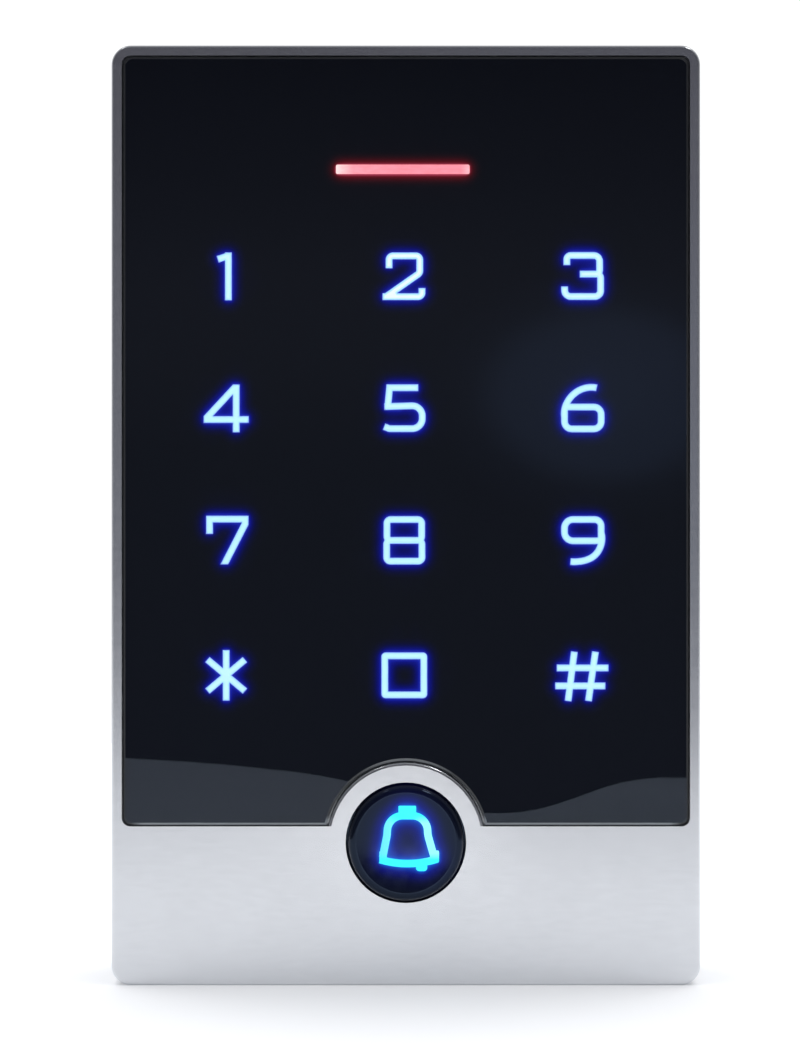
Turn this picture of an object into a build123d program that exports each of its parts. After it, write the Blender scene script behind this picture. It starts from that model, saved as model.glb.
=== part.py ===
from build123d import *
from math import asin, degrees
import os

# A wall-mounted keypad reader: a die-cast housing with a touch glass, a bell button and the boards inside.
# Every piece is drawn lying on its back, in millimetres: X across, Y up the face, Z out from the wall.
# The last lines stand the pieces up, so that the front looks along -Y and the wall is the plane Y = 0.

# Housing, outside.
width = 75.2
height = 120.0
depth = 22.0
corner_radius = 2.5
front_edge_radius = 0.4
back_edge_radius = 0.25
arch_edge_radius = 0.45
well_edge_radius = 0.6

# Housing, walls and levels measured from the wall.
skirt_wall = 1.4
side_wall = 2.2
rim = 1.33
recess_corner_radius = 1.3
seat_level = 6.0
shelf_back = 17.8
shelf_front = 19.4
chin_back = 20.0
chin_recess_top = -41.2

# Touch glass and the layers stuck behind it.
glass_gap = 0.12
glass_top = 58.55
glass_bottom = -39.6
glass_back = 20.0
glass_corner_radius = 1.1
glass_edge_bevel = 0.35
film_thickness = 0.2
film_inset = 0.15
tape_inset = 0.4
diffuser_thickness = 0.4
window_half_width = 31.4
window_bottom = -31.3
window_top = 52.0
window_corner_radius = 2.0

# Key legends: where they stand and how they are drawn.
key_columns = (-23.0, -0.2, 22.6)
key_rows = (30.6, 13.7, -3.2, -20.5)
stroke_width = 0.9
status_centre = (-0.4, 44.28)
status_length = 17.1
status_height = 1.2

# Bell button.
bell_height = -41.8
well_radius = 7.7
well_wall_radius = 9.6
well_back = 16.6
arch_height = -41.65
arch_radius = 10.15
cap_radius = 7.42
cap_bore_radius = 6.4
cap_face_radius = 6.4
cap_shoulder = 21.6
cap_face = 23.05
cap_dish = 22.92
cap_flange_radius = 8.9
cap_flange_thickness = 0.9
cap_flange_back = 15.1
cap_roof = 21.4
bell_travel = 0.8
bell_stroke_width = 0.95
bell_mark_lift = 0.15
core_disc_radius = 6.3
core_disc_back = 20.2
stem_radius = 2.0
seal_inner_radius = 7.9
seal_thickness = 0.5

# Bell switch and its return spring.
switch_width = 6.0
switch_height = 3.5
switch_bore_radius = 1.95
plunger_radius = 1.75
plunger_back = 11.9
plunger_front = 14.0
spring_mean_radius = 5.0
spring_wire_radius = 0.25
spring_turns = 6
spring_play = 0.03

# Boards.
board_half_width = 34.9
touch_board_back = 14.4
touch_board_front = 15.6
touch_board_bottom = -30.9
touch_board_top = 51.4
main_board_back = 7.6
main_board_front = 9.2
main_board_half_height = 57.3
touch_screw_places = [(-33.6, 46.0), (33.6, 46.0), (-33.6, -27.0), (33.6, -27.0)]
main_screw_places = [(-12.0, 54.6), (12.0, 54.6), (-33.0, -35.5), (33.0, -35.5)]
touch_post_radius = 2.0
main_post_radius = 2.3
touch_thread_radius = 0.8
main_thread_radius = 1.0
thread_play = 0.02
screw_clearance = 0.15

# Light mask, touch springs and antenna.
mask_half_width = 29.2
mask_bottom = -28.9
mask_top = 49.5
cell_radius = 5.6
touch_spring_radius = 4.8
touch_spring_turns = 3
antenna_gap = 0.2
antenna_width = 1.6
antenna_back = 16.0
antenna_front = 18.6

# Back cover, its screws and the cable entry.
cover_back = 3.5
cover_front = 5.5
cover_gap = 0.15
cover_screw_places = [(x, y) for x in (-32.6, 32.6) for y in (-55.0, 55.0)]
cover_boss_radius = 3.2
cover_thread_radius = 1.1
cable_entry = (0.0, 17.0)
cable_radius = 3.0
grommet_neck_radius = 4.7
grommet_flange_radius = 6.0
grommet_flange_thickness = 1.2
cable_hole_radius = 5.5
tamper_place = (-20.0, 30.0)
tamper_lens_radius = 2.5

# Wall bracket and the screw that locks the reader on it.
plate_thickness = 1.5
bracket_half_width = 35.2
bracket_bottom = -57.6
bracket_top = 57.7
cable_cutout_width = 26.0
cable_cutout_height = 28.0
wall_hole_radius = 2.2
wall_hole_spacing = (50.0, 84.0)
box_hole_spacing = 60.3
hook_places = (-18.0, 18.0)
hook_width = 10.0
hook_tip = 59.1
lock_block_half_width = 9.0
lock_block_top = -53.4
lock_block_front = 9.4
lock_pocket_half_width = 6.6
lock_pocket_bottom = -58.2
lock_pocket_top = -55.0
lock_pocket_front = 8.4
lock_flange_half_width = 5.5
lock_flange_front = 7.6
lock_screw_level = 4.6
lock_screw_radius = 1.5
lock_head_radius = 2.8
lock_head_height = 1.5
lock_screw_length = 5.6

glass_half_width = width / 2 - rim - glass_gap
glass_front = depth
film_back = glass_back - film_thickness
diffuser_back = film_back - diffuser_thickness
bell_centre = (0.0, bell_height)
key_places = [(x, y) for y in key_rows for x in key_columns]


# Small helpers.

def slab(outline, back, front):
    """A flat piece with this outline, from one distance off the wall to another."""
    return extrude(Pos(0, 0, back) * outline, front - back)


def disc(centre, radius, back, front):
    """A round piece on an axis square to the wall."""
    return slab(Pos(*centre) * Circle(radius), back, front)


def block(centre, size, back, front):
    """A rectangular piece, given its middle and its size across the face."""
    return slab(Pos(*centre) * Rectangle(*size), back, front)


def sheet(half_width, bottom, top, radius):
    """A rounded rectangle on the middle line of the reader."""
    return Pos(0, (bottom + top) / 2) * RectangleRounded(2 * half_width, top - bottom, radius)


def group(solids):
    """Separate solids that share one node."""
    return Compound(children=list(solids))


def pan_screw(place, seat, head_radius, head_height, shaft_radius, length):
    """A cross-head screw driven from the back, with its head behind the seat."""
    head = disc((0, 0), head_radius, -head_height, 0)
    back_rim = head.edges().sort_by(Axis.Z)[0]
    head = fillet(back_rim, 0.4 * head_height)
    shaft = disc((0, 0), shaft_radius, 0, length)
    shaft = chamfer(shaft.edges().sort_by(Axis.Z)[-1], 0.3 * shaft_radius)
    slot_depth = 0.6 * head_height
    for size in [(1.1 * head_radius, 0.5), (0.5, 1.1 * head_radius)]:
        head -= block((0, 0), size, -head_height, slot_depth - head_height)
    return Pos(*place, seat) * (head + shaft)


def coil(centre, mean_radius, wire_radius, back, front, turns):
    """A round-wire spring that stands between two levels."""
    rise = front - back - 2 * (wire_radius + spring_play)
    path = Helix(pitch=rise / turns, height=rise, radius=mean_radius)
    wire = sweep((path ^ 0) * Circle(wire_radius), path=path)
    return Pos(*centre, back + wire_radius + spring_play) * wire


# Key legends, each drawn by its strokes about the middle of its key.

def stroke(points, radii=()):
    """One pen stroke with square ends and rounded bends."""
    if len(points) == 2:
        return trace(Line(*points), stroke_width)
    return trace(FilletPolyline(*points, radius=list(radii)), stroke_width)


def loop(left, right, bottom, top, radii):
    """A closed stroke; the radii start at the bottom left corner and go round anticlockwise."""
    corners = [(left, bottom), (right, bottom), (right, top), (left, top)]
    middle = make_face(FilletPolyline(*corners, radius=list(radii), close=True))
    return offset(middle, stroke_width / 2) - offset(middle, -stroke_width / 2)


def arm(length, angle):
    """One bar of the star, through its middle."""
    return Rot(0, 0, angle) * Rectangle(length, stroke_width)


def legend_one():
    flag = stroke([(-1.1, 2.15), (0.3, 2.62)])
    stem = stroke([(0.28, 3.05), (0.28, -3.1)])
    return flag + stem


def legend_two():
    pen = [(-1.95, 1.0), (-1.95, 2.6), (1.98, 2.6), (1.98, 0.4), (-2.3, -2.6)]
    sweep_down = stroke(pen, (0.5, 0.5, 0.6))
    foot = stroke([(-2.8, -2.62), (2.26, -2.62), (2.26, -1.5)], (0.5,))
    return sweep_down + foot


def legend_three():
    upper_pen = [(-1.99, 1.4), (-1.99, 2.65), (2.2, 2.65), (2.2, 0.27), (-0.35, 0.27)]
    lower_pen = [(1.2, 0.27), (2.33, 0.27), (2.33, -2.6), (-2.28, -2.6), (-2.28, -1.3)]
    return stroke(upper_pen, (0.5, 0.75, 0.5)) + stroke(lower_pen, (0.5, 0.75, 0.8))


def legend_four():
    slope = stroke([(1.2, 2.75), (-2.6, -1.35)])
    bar = stroke([(-2.9, -1.45), (2.9, -1.45)])
    stem = stroke([(1.28, 3.05), (1.28, -3.1)])
    return slope + bar + stem


def legend_five():
    top = stroke([(1.8, 2.62), (-1.88, 2.62), (-2.12, 0.1)], (0.0,))
    bowl_pen = [(-2.57, 0.2), (2.3, 0.35), (2.3, -2.62), (-1.9, -2.62), (-2.6, -2.35)]
    return top + stroke(bowl_pen, (1.3, 1.3, 0.6))


def legend_six():
    bowl = loop(-2.29, 2.4, -2.65, 0.15, (0.95, 0.95, 0.95, 0.5))
    pen = Spline((-2.29, -1.2), (-1.95, 0.75), (-0.65, 2.15), (0.75, 2.65), (1.85, 2.6))
    return bowl + trace(pen, stroke_width)


def legend_seven():
    pen = stroke([(-2.13, 0.8), (-2.13, 2.7), (2.42, 2.7), (2.42, 2.1), (-0.6, -3.8)], (0.0, 0.0, 0.0))
    return pen - Pos(0, -4.1) * Rectangle(6, 2)


def legend_eight():
    upper = loop(-2.22, 2.22, -0.02, 2.65, (0.5, 0.5, 0.5, 0.5))
    lower = loop(-2.26, 2.26, -2.68, -0.02, (0.5, 0.5, 0.5, 0.5))
    return upper + lower


def legend_nine():
    bowl = loop(-2.29, 2.4, -0.08, 2.65, (1.1, 0.5, 0.85, 1.1))
    pen = Spline((2.4, 1.0), (2.3, -0.85), (1.45, -2.05), (0.2, -2.62), (-1.55, -2.74))
    return bowl + trace(pen, stroke_width)


def legend_star():
    return arm(6.5, 90) + arm(6.3, 40) + arm(6.3, 140)


def legend_zero():
    return loop(-2.5, 2.5, -2.5, 2.5, (0.12, 0.12, 0.12, 0.12))


def legend_hash():
    upper_bar = stroke([(-3.3, 0.95), (3.35, 0.95)])
    lower_bar = stroke([(-3.5, -1.35), (2.95, -1.35)])
    left_stem = stroke([(-1.03, 3.05), (-1.83, -3.3)])
    right_stem = stroke([(1.67, 3.05), (0.77, -3.3)])
    return upper_bar + lower_bar + left_stem + right_stem


def legend_outlines():
    """The twelve legends in reading order, each at its key."""
    shapes = [
        legend_one(), legend_two(), legend_three(),
        legend_four(), legend_five(), legend_six(),
        legend_seven(), legend_eight(), legend_nine(),
        legend_star(), legend_zero(), legend_hash(),
    ]
    return [Pos(*place) * shape for place, shape in zip(key_places, shapes)]


def bell_outline():
    """A plain bell: crown, rounded body, curved lip and a clapper to one side."""
    body_points = [(-2.95, -1.9), (-2.4, 0.9), (-2.25, 3.38), (2.65, 3.38), (2.8, 0.9), (3.6, -1.9)]
    body = trace(FilletPolyline(*body_points, radius=[3.0, 1.95, 1.95, 3.0]), bell_stroke_width)
    lip = trace(ThreePointArc((-3.3, -2.2), (0.2, -2.72), (4.0, -2.12)), bell_stroke_width)
    crown = Pos(0.18, 3.95) * RectangleRounded(2.25, 1.4, 0.15)
    clapper = Pos(2.0, -2.98) * RectangleRounded(1.45, 1.4, 0.45)
    left_foot = Pos(-2.9, -1.85) * RectangleRounded(0.95, 1.5, 0.2)
    right_foot = Pos(3.72, -1.8) * RectangleRounded(1.0, 1.5, 0.2)
    return Pos(0, bell_height + bell_mark_lift) * (body + lip + crown + clapper + left_foot + right_foot)


# Outlines shared by several pieces.

def glass_outline(inset=0.0):
    """The glass: a rounded sheet with a round bay for the bell arch."""
    bay = Pos(0, arch_height) * Circle(arch_radius + glass_gap + inset)
    bottom = glass_bottom + inset
    top = glass_top - inset
    return sheet(glass_half_width - inset, bottom, top, glass_corner_radius) - bay


def window_outline(inset=0.0):
    """The opening behind the glass that the light mask looks through."""
    return sheet(window_half_width - inset, window_bottom + inset, window_top - inset, window_corner_radius)


def recess_outline(inset=0.0):
    """The open back of the housing, stepped round the lock screw block."""
    half_width = width / 2 - skirt_wall - inset
    half_height = height / 2 - skirt_wall - inset
    step_top = lock_block_top + inset
    step = Rectangle(2 * (lock_block_half_width + inset), 2 * (half_height + step_top))
    return sheet(half_width, -half_height, half_height, recess_corner_radius) - Pos(0, -half_height) * step


# Housing.

def lock_block():
    """The block in the bottom wall, with the pocket that takes the bracket's flange."""
    bottom = -height / 2 + corner_radius / 2
    centre = (0, (bottom + lock_block_top) / 2)
    size = (2 * lock_block_half_width, lock_block_top - bottom)
    body = block(centre, size, plate_thickness + 0.3, lock_block_front)
    pocket_centre = (0, (lock_pocket_bottom + lock_pocket_top) / 2)
    pocket_size = (2 * lock_pocket_half_width, lock_pocket_top - lock_pocket_bottom)
    return body, block(pocket_centre, pocket_size, 0, lock_pocket_front)


def lock_screw_hole():
    """The countersunk hole through the bottom wall."""
    shaft = Cylinder(lock_screw_radius + screw_clearance, 8, align=(Align.CENTER, Align.CENTER, Align.MIN))
    sink = Cone(lock_head_radius + 0.1, lock_screw_radius + screw_clearance, lock_head_height,
                align=(Align.CENTER, Align.CENTER, Align.MIN))
    return Pos(0, -height / 2, lock_screw_level) * Rot(-90, 0, 0) * (shaft + sink)


def post(place, radius, back, hole_radius, hole_depth):
    """A screw post that hangs from the shelf, and its hole."""
    return disc(place, radius, back, shelf_back), disc(place, hole_radius, back, back + hole_depth)


def housing_shell():
    """The outside, hollowed to the shelf behind the glass and to the inside of the chin."""
    shell = slab(RectangleRounded(width, height, corner_radius), 0, depth)
    front_loop = shell.faces().sort_by(Axis.Z)[-1].edges()
    shell = fillet(front_loop, front_edge_radius)
    back_loop = shell.faces().sort_by(Axis.Z)[0].edges()
    shell = fillet(back_loop, back_edge_radius)
    cavity_inset = side_wall - skirt_wall
    chin_bottom = -height / 2 + side_wall
    shell -= slab(recess_outline(), 0, seat_level)
    shell -= slab(recess_outline(cavity_inset), seat_level, shelf_back)
    chin = sheet(width / 2 - side_wall, chin_bottom, chin_recess_top, recess_corner_radius)
    shell -= slab(chin, shelf_back, chin_back)
    return shell


def front_housing():
    """The die-cast shell with the chin, the arch round the bell button and all its posts."""
    shell = housing_shell()
    shell -= slab(glass_outline(-glass_gap), shelf_front, depth)
    shell -= slab(window_outline(), shelf_back, shelf_front)
    body, pocket = lock_block()
    shell += body
    shell -= slab(sheet(width / 2 - skirt_wall, -height / 2 + skirt_wall, -40, 1), 0, plate_thickness + 0.3)
    shell += disc(bell_centre, well_wall_radius, well_back, chin_back)
    shell -= disc(bell_centre, well_radius, well_back, depth)
    posts = [post(place, touch_post_radius, touch_board_front, touch_thread_radius + thread_play, 3.0)
             for place in touch_screw_places]
    posts += [post(place, main_post_radius, main_board_front, main_thread_radius + thread_play, 6.0)
              for place in main_screw_places]
    posts += [post(place, cover_boss_radius, cover_front, cover_thread_radius + thread_play, 7.0)
              for place in cover_screw_places]
    for solid, hole in posts:
        shell += solid
    for solid, hole in posts:
        shell -= hole
    shell -= pocket
    shell -= lock_screw_hole()
    hook_pocket_size = (hook_width + 0.8, 1.0)
    for x in hook_places:
        centre = (x, height / 2 - 1.2)
        shell -= block(centre, hook_pocket_size, plate_thickness - 0.2, 2 * plate_thickness + 0.2)
    return round_front_edges(shell)


def round_front_edges(shell):
    """Rounds the outside of the arch and the mouth of the bell well."""
    front = shell.edges().filter_by_position(Axis.Z, depth - 0.001, depth + 0.001)
    arcs = front.filter_by(GeomType.CIRCLE)
    arch = arcs.filter_by(lambda edge: abs(edge.radius - arch_radius) < 0.01)
    mouth = arcs.filter_by(lambda edge: abs(edge.radius - well_radius) < 0.01)
    shell = fillet(mouth, well_edge_radius)
    return fillet(arch, arch_edge_radius)


# Glass stack.

def touch_glass():
    """Tempered glass with a pencil bevel round its front."""
    pane = slab(glass_outline(), glass_back, glass_front)
    front_loop = pane.faces().sort_by(Axis.Z)[-1].edges()
    return chamfer(front_loop, glass_edge_bevel)


def status_outline(margin=0.0):
    """The status bar across the top of the keypad."""
    bar = RectangleRounded(status_length + 2 * margin, status_height + 2 * margin, 0.2)
    return Pos(*status_centre) * bar


def legend_film():
    """The black print behind the glass, open at each legend and at the status bar."""
    film = slab(glass_outline(film_inset), film_back, glass_back)
    for outline in legend_outlines():
        film -= slab(outline, film_back, glass_back)
    return film - slab(status_outline(), film_back, glass_back)


def key_legends():
    """Clear ink that fills the legend openings."""
    return group(slab(outline, film_back, glass_back) for outline in legend_outlines())


def panel_tape():
    """The adhesive frame that holds the glass on the shelf."""
    return slab(glass_outline(tape_inset) - window_outline(-0.3), shelf_front, film_back)


def diffuser_sheet():
    """Milky sheet that evens out the light of the keys."""
    outline = window_outline(0.2) - status_outline(0.05)
    return slab(outline, diffuser_back, film_back)


def status_light_guide():
    """Clear bar that brings the status light to the front."""
    bar = slab(status_outline(), diffuser_back, glass_back)
    foot = block(status_centre, (status_length + 1.4, status_height + 1.4), 16.4, diffuser_back)
    return bar + foot


def light_mask():
    """Black frame with one round cell for each key and a slot for the status light."""
    mask = slab(sheet(mask_half_width, mask_bottom, mask_top, 1.5), touch_board_front, diffuser_back)
    for place in key_places:
        mask -= disc(place, cell_radius, touch_board_front, diffuser_back)
    slot_size = (status_length + 1.6, status_height + 1.6)
    return mask - block(status_centre, slot_size, touch_board_front, diffuser_back)


def touch_springs():
    """Springs that carry the touch signal from the board to the glass."""
    span = (touch_board_front, diffuser_back)
    return group(
        coil(place, touch_spring_radius, spring_wire_radius, *span, touch_spring_turns)
        for place in key_places
    )


def antenna_coil():
    """The card reader's winding, round the outside of the mask."""
    inner = sheet(mask_half_width + antenna_gap, mask_bottom - antenna_gap, mask_top + antenna_gap, 1.7)
    grow = antenna_gap + antenna_width
    outer = sheet(mask_half_width + grow, mask_bottom - grow, mask_top + grow, 3.3)
    return slab(outer - inner, antenna_back, antenna_front)


# Touch board.

def touch_board():
    """Circuit board that carries the key lights and the touch springs."""
    outline = sheet(board_half_width, touch_board_bottom, touch_board_top, 0.8)
    board = slab(outline, touch_board_back, touch_board_front)
    for place in touch_screw_places:
        board -= disc(place, touch_thread_radius + screw_clearance, touch_board_back, touch_board_front)
    return board


def touch_board_screws():
    return group(
        pan_screw(place, touch_board_back, 1.6, 1.1, touch_thread_radius, 4.0)
        for place in touch_screw_places
    )


def chip_led(place, size, level, body_height):
    """A surface-mount light with a raised lens."""
    length, breadth = size
    body = block(place, size, level, level + body_height)
    lens = disc(place, 0.38 * breadth, level + body_height, level + 1.3 * body_height)
    return body + lens


def key_leds():
    return group(chip_led(place, (3.5, 2.8), touch_board_front, 1.4) for place in key_places)


def status_leds():
    x, y = status_centre
    return group(block((x + shift, y), (2.0, 1.25), touch_board_front, 16.3) for shift in (-6.0, 0.0, 6.0))


# Main board.

def main_board():
    """Circuit board that carries the reader's electronics and the bell switch."""
    half_height = main_board_half_height
    board = sheet(board_half_width, -half_height, half_height, 0.8)
    notch = Rectangle(2 * (lock_block_half_width + 1.1), 2 * (half_height + lock_block_top + 1.1))
    board -= Pos(0, -half_height) * notch
    for place in cover_screw_places:
        board -= Pos(*place) * Circle(cover_boss_radius + 0.3)
    for place in main_screw_places:
        board -= Pos(*place) * Circle(main_thread_radius + screw_clearance)
    board -= Pos(*cable_entry) * Circle(cable_hole_radius)
    return slab(board, main_board_back, main_board_front)


def main_board_screws():
    return group(
        pan_screw(place, main_board_back, 1.8, 1.2, main_thread_radius, 6.8)
        for place in main_screw_places
    )


def board_headers():
    """Two sockets that join the boards, with a row of leads along each side."""
    sockets = []
    lead_top = main_board_front + 0.4
    for x in (-24.0, 24.0):
        socket = block((x, 34.0), (3.4, 20.0), main_board_front, touch_board_back)
        for step in range(12):
            socket += block((x, 34.0 + 1.6 * (step - 5.5)), (5.0, 0.6), main_board_front, lead_top)
        sockets.append(socket)
    return group(sockets)


def leaded_chip(place, size, lead_pitch, leads_per_side, sides):
    """A flat chip with rows of flat leads."""
    body_width, body_height = size
    lead_top = main_board_front + 0.4
    body = block((0, 0), size, main_board_front + 0.1, main_board_front + 1.5)
    body = chamfer(body.faces().sort_by(Axis.Z)[-1].edges(), 0.15)
    for side in range(sides):
        reach = body_height / 2 if sides == 4 and side % 2 == 1 else body_width / 2
        for step in range(leads_per_side):
            along = lead_pitch * (step - (leads_per_side - 1) / 2)
            lead = block((reach + 0.3, along), (1.2, 0.4 * lead_pitch), main_board_front, lead_top)
            turn = 90 * side if sides == 4 else 180 * side
            body += Rot(0, 0, turn) * lead
    return Pos(*place) * body


def logic_chips():
    """The controller, the card reader chip and the memory."""
    controller = leaded_chip((-12.0, -8.0), (9.0, 9.0), 0.8, 10, 4)
    reader = leaded_chip((12.0, -6.0), (7.0, 7.0), 0.8, 8, 4)
    memory = leaded_chip((14.0, -20.0), (4.0, 5.0), 1.27, 4, 2)
    return group([controller, reader, memory])


def power_parts():
    """Supply capacitors and choke."""
    tops = []
    for place in [(-22.0, 4.0), (-22.0, -3.5)]:
        can = disc(place, 2.5, main_board_front + 0.4, main_board_front + 4.6)
        can = fillet(can.edges().sort_by(Axis.Z)[-1], 0.4)
        tops.append(can + block(place, (5.3, 5.3), main_board_front, main_board_front + 0.6))
    choke = block((24.0, 6.0), (7.0, 7.0), main_board_front, main_board_front + 3.2)
    choke = chamfer(choke.edges().filter_by(Axis.Z), 1.2)
    return group(tops + [choke])


def door_relay():
    """The relay that switches the door lock."""
    foot_top = main_board_front + 0.3
    case = block((0, 0), (20.0, 10.0), foot_top, 19.6)
    case = fillet(case.edges().filter_by(Axis.Z), 0.4)
    for x in (-7.6, -2.5, 2.5, 7.6):
        for y in (-3.8, 3.8):
            case += block((x, y), (0.6, 0.6), main_board_front, foot_top)
    return Pos(20.8, -47.2) * case


def buzzer():
    """The sounder, with its sound hole to the front."""
    centre = (-21.0, -47.5)
    can = disc(centre, 6.0, main_board_front, 17.7)
    can = fillet(can.edges().sort_by(Axis.Z)[-1], 0.5)
    return can - disc(centre, 1.0, 16.5, 17.7)


def wire_header():
    """The socket for the cable's wires, open towards the cable entry."""
    centre = (0.0, 27.0)
    shell = block(centre, (22.0, 8.0), main_board_front, main_board_front + 4.8)
    hollow = block((0.0, 26.0), (20.0, 6.0), main_board_front + 0.8, main_board_front + 4.0)
    pins = [block((2.5 * (step - 3.5), 27.0), (0.5, 4.0), main_board_front + 2.1, main_board_front + 2.6)
            for step in range(8)]
    body = shell - hollow
    for pin in pins:
        body += pin
    return body


def tamper_sensor():
    """Light sensor that notices when the reader is lifted off the wall."""
    return disc(tamper_place, 2.1, main_board_back - 1.4, main_board_back)


# Bell button.

def bell_switch_body():
    """Push switch under the button, with a bore for its plunger."""
    top = main_board_front + switch_height
    case = block(bell_centre, (switch_width, switch_width), main_board_front, top)
    case = chamfer(case.edges().filter_by(Axis.Z), 0.5)
    bore_floor = plunger_back - bell_travel - 0.1
    return case - disc(bell_centre, switch_bore_radius, bore_floor, top)


def bell_switch_plunger():
    tip = disc(bell_centre, plunger_radius, plunger_back, plunger_front)
    return chamfer(tip.edges().sort_by(Axis.Z)[0], 0.2)


def bell_leds():
    """Four lights round the spring that shine up into the cap."""
    lights = []
    for turn in (45, 135, 225, 315):
        light = block((6.9, 0), (1.2, 2.0), main_board_front, main_board_front + 0.8)
        lights.append(Pos(*bell_centre) * Rot(0, 0, turn) * light)
    return group(lights)


def button_return_spring():
    span = (main_board_front, core_disc_back)
    return coil(bell_centre, spring_mean_radius, spring_wire_radius, *span, spring_turns)


def cap_solid():
    """The cap as if it were solid: skirt, rolled edge and a face slightly dished for the finger."""
    flange_top = cap_flange_back + cap_flange_thickness
    flange = [(0, cap_flange_back), (cap_flange_radius, cap_flange_back), (cap_flange_radius, flange_top)]
    side = Polyline(*flange, (cap_radius, flange_top), (cap_radius, cap_shoulder))
    roll_pulls = [(cap_radius, cap_face - 0.35), (cap_face_radius + 0.75, cap_face - 0.02)]
    roll = Bezier((cap_radius, cap_shoulder), *roll_pulls, (cap_face_radius, cap_face))
    rise = cap_face - cap_dish
    dish_radius = (cap_face_radius ** 2 + rise ** 2) / (2 * rise)
    half_angle = degrees(asin(cap_face_radius / dish_radius))
    dish = CenterArc((0, cap_dish + dish_radius), dish_radius, -90, half_angle)
    axis_line = Line((0, cap_dish), (0, cap_flange_back))
    profile = make_face(side + roll + dish + axis_line)
    return Pos(*bell_centre) * revolve(Rot(90, 0, 0) * profile, Axis.Z)


def bell_prism():
    """The bell mark, drawn through the face of the cap."""
    return slab(bell_outline(), cap_roof, cap_face + 0.5)


def bell_button_cap():
    """Black cap, hollow behind, with openings for the bell mark."""
    hollow = disc(bell_centre, cap_bore_radius, cap_flange_back, cap_roof)
    return cap_solid() - hollow - bell_prism()


def bell_light_core():
    """Clear core in the cap: its raised bell comes flush with the face, and its stem works the switch."""
    mark = cap_solid() & bell_prism()
    plate = disc(bell_centre, core_disc_radius, core_disc_back, cap_roof)
    stem = disc(bell_centre, stem_radius, plunger_front, core_disc_back)
    return plate + stem + mark


def button_seal():
    """Soft ring that the cap's flange rests behind."""
    ring = disc(bell_centre, well_wall_radius - 0.2, well_back - seal_thickness, well_back)
    return ring - disc(bell_centre, seal_inner_radius, well_back - seal_thickness, well_back)


# Back cover.

def rear_cover():
    """Plastic back plate with the cable entry and the tamper window."""
    plate = slab(recess_outline(cover_gap), cover_back, cover_front)
    for place in cover_screw_places:
        plate -= disc(place, cover_thread_radius + screw_clearance, cover_back, cover_front)
    plate -= disc(cable_entry, grommet_neck_radius, cover_back, cover_front)
    plate -= disc(tamper_place, tamper_lens_radius, cover_back, cover_front)
    for y in (-38.0, -20.0, 44.0):
        plate -= block((0, y), (48.0, 1.2), cover_back, cover_back + 0.6)
    return plate


def rear_gasket():
    """Soft ring between the back cover and its seat."""
    outer = recess_outline(cover_gap)
    inner = recess_outline(side_wall - skirt_wall)
    ring = slab(outer - inner, cover_front, seat_level)
    for place in cover_screw_places:
        ring -= disc(place, cover_boss_radius + 0.1, cover_front, seat_level)
    return ring


def rear_cover_screws():
    return group(
        pan_screw(place, cover_back, 2.2, 1.5, cover_thread_radius, 8.0)
        for place in cover_screw_places
    )


def cable_grommet():
    """Rubber grommet, gripped by the back cover, that the cable passes through."""
    back = cover_back - grommet_flange_thickness
    front = cover_front + grommet_flange_thickness
    sleeve = disc(cable_entry, grommet_neck_radius, cover_back, cover_front)
    behind = disc(cable_entry, grommet_flange_radius, back, cover_back)
    inside = disc(cable_entry, grommet_flange_radius - 0.6, cover_front, front)
    return sleeve + behind + inside - disc(cable_entry, cable_radius, back, front)


def tamper_window():
    """Clear plug that lets the tamper sensor see the wall."""
    plug = disc(tamper_place, tamper_lens_radius, cover_back, cover_front)
    return plug + disc(tamper_place, tamper_lens_radius + 0.7, cover_front, cover_front + 0.4)


# Wall bracket.

def wall_bracket():
    """Steel plate that is screwed to the wall; the reader hooks on at the top and locks at the bottom."""
    plate = slab(sheet(bracket_half_width, bracket_bottom, bracket_top, 1.5), 0, plate_thickness)
    cutout = Pos(*cable_entry) * RectangleRounded(cable_cutout_width, cable_cutout_height, 3.0)
    plate -= slab(cutout, 0, plate_thickness)
    across, up = wall_hole_spacing
    holes = [(x, y) for x in (-across / 2, across / 2) for y in (-up / 2, up / 2)]
    holes += [(x, cable_entry[1]) for x in (-box_hole_spacing / 2, box_hole_spacing / 2)]
    for place in holes:
        plate -= disc(place, wall_hole_radius, 0, plate_thickness)
    plate -= disc(tamper_place, 4.0, 0, plate_thickness)
    hook_root = bracket_top - plate_thickness
    hook_size = (hook_width, hook_tip - hook_root)
    for x in hook_places:
        hook_centre = (x, (hook_root + hook_tip) / 2)
        plate += block(hook_centre, hook_size, plate_thickness, 2 * plate_thickness)
    flange_centre = (0, bracket_bottom + plate_thickness / 2)
    plate += block(flange_centre, (2 * lock_flange_half_width, plate_thickness), 0, lock_flange_front)
    thread = Cylinder(lock_screw_radius + thread_play, 6)
    return plate - Pos(0, bracket_bottom, lock_screw_level) * Rot(90, 0, 0) * thread


def lock_screw():
    """Countersunk security screw, driven up through the bottom wall into the bracket."""
    bottom = (Align.CENTER, Align.CENTER, Align.MIN)
    head = Cone(lock_head_radius, lock_screw_radius, lock_head_height, align=bottom)
    shaft = Cylinder(lock_screw_radius, lock_screw_length, align=bottom)
    drive = extrude(RegularPolygon(1.0, 6), 0.9)
    pin = Cylinder(0.3, 0.9, align=bottom)
    screw = head + shaft - drive + pin
    return Pos(0, -height / 2 + 0.05, lock_screw_level) * Rot(-90, 0, 0) * screw


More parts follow.
